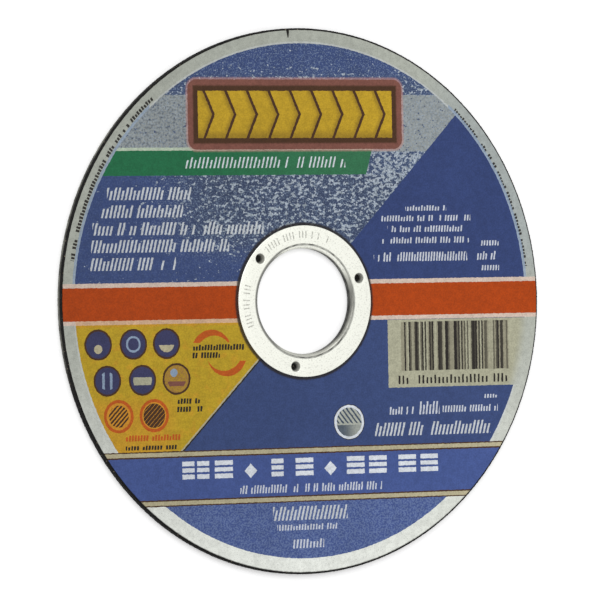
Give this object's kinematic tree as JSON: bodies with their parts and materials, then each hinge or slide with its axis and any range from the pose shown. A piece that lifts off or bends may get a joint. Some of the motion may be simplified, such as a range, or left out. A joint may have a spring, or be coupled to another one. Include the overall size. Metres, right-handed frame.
{
  "type": "abrasive disc",
  "caption": "Thin flat cut-off disc of bonded grit with a colour-printed paper label, a glass-mesh back and a flanged steel arbor ring.",
  "frame": {"origin": "on the disc's axis, in the plane of its back face", "axes": "+Z along the axis towards the label, +X along the label's horizontal bands, +Y towards the label's top"},
  "size_m": [0.115, 0.115, 0.0019],
  "materials": {
    "grit": "rough moulded grain and resin",
    "mesh": "resin-soaked woven glass fibre",
    "print": "matt print on paper",
    "tinplate": "bright tinned sheet"
  },
  "bodies": {
    "root": {"abrasive_body": "grit", "glass_mesh": "mesh", "paper_label": "print", "centre_ring": "tinplate"}
  },
  "joints": []
}
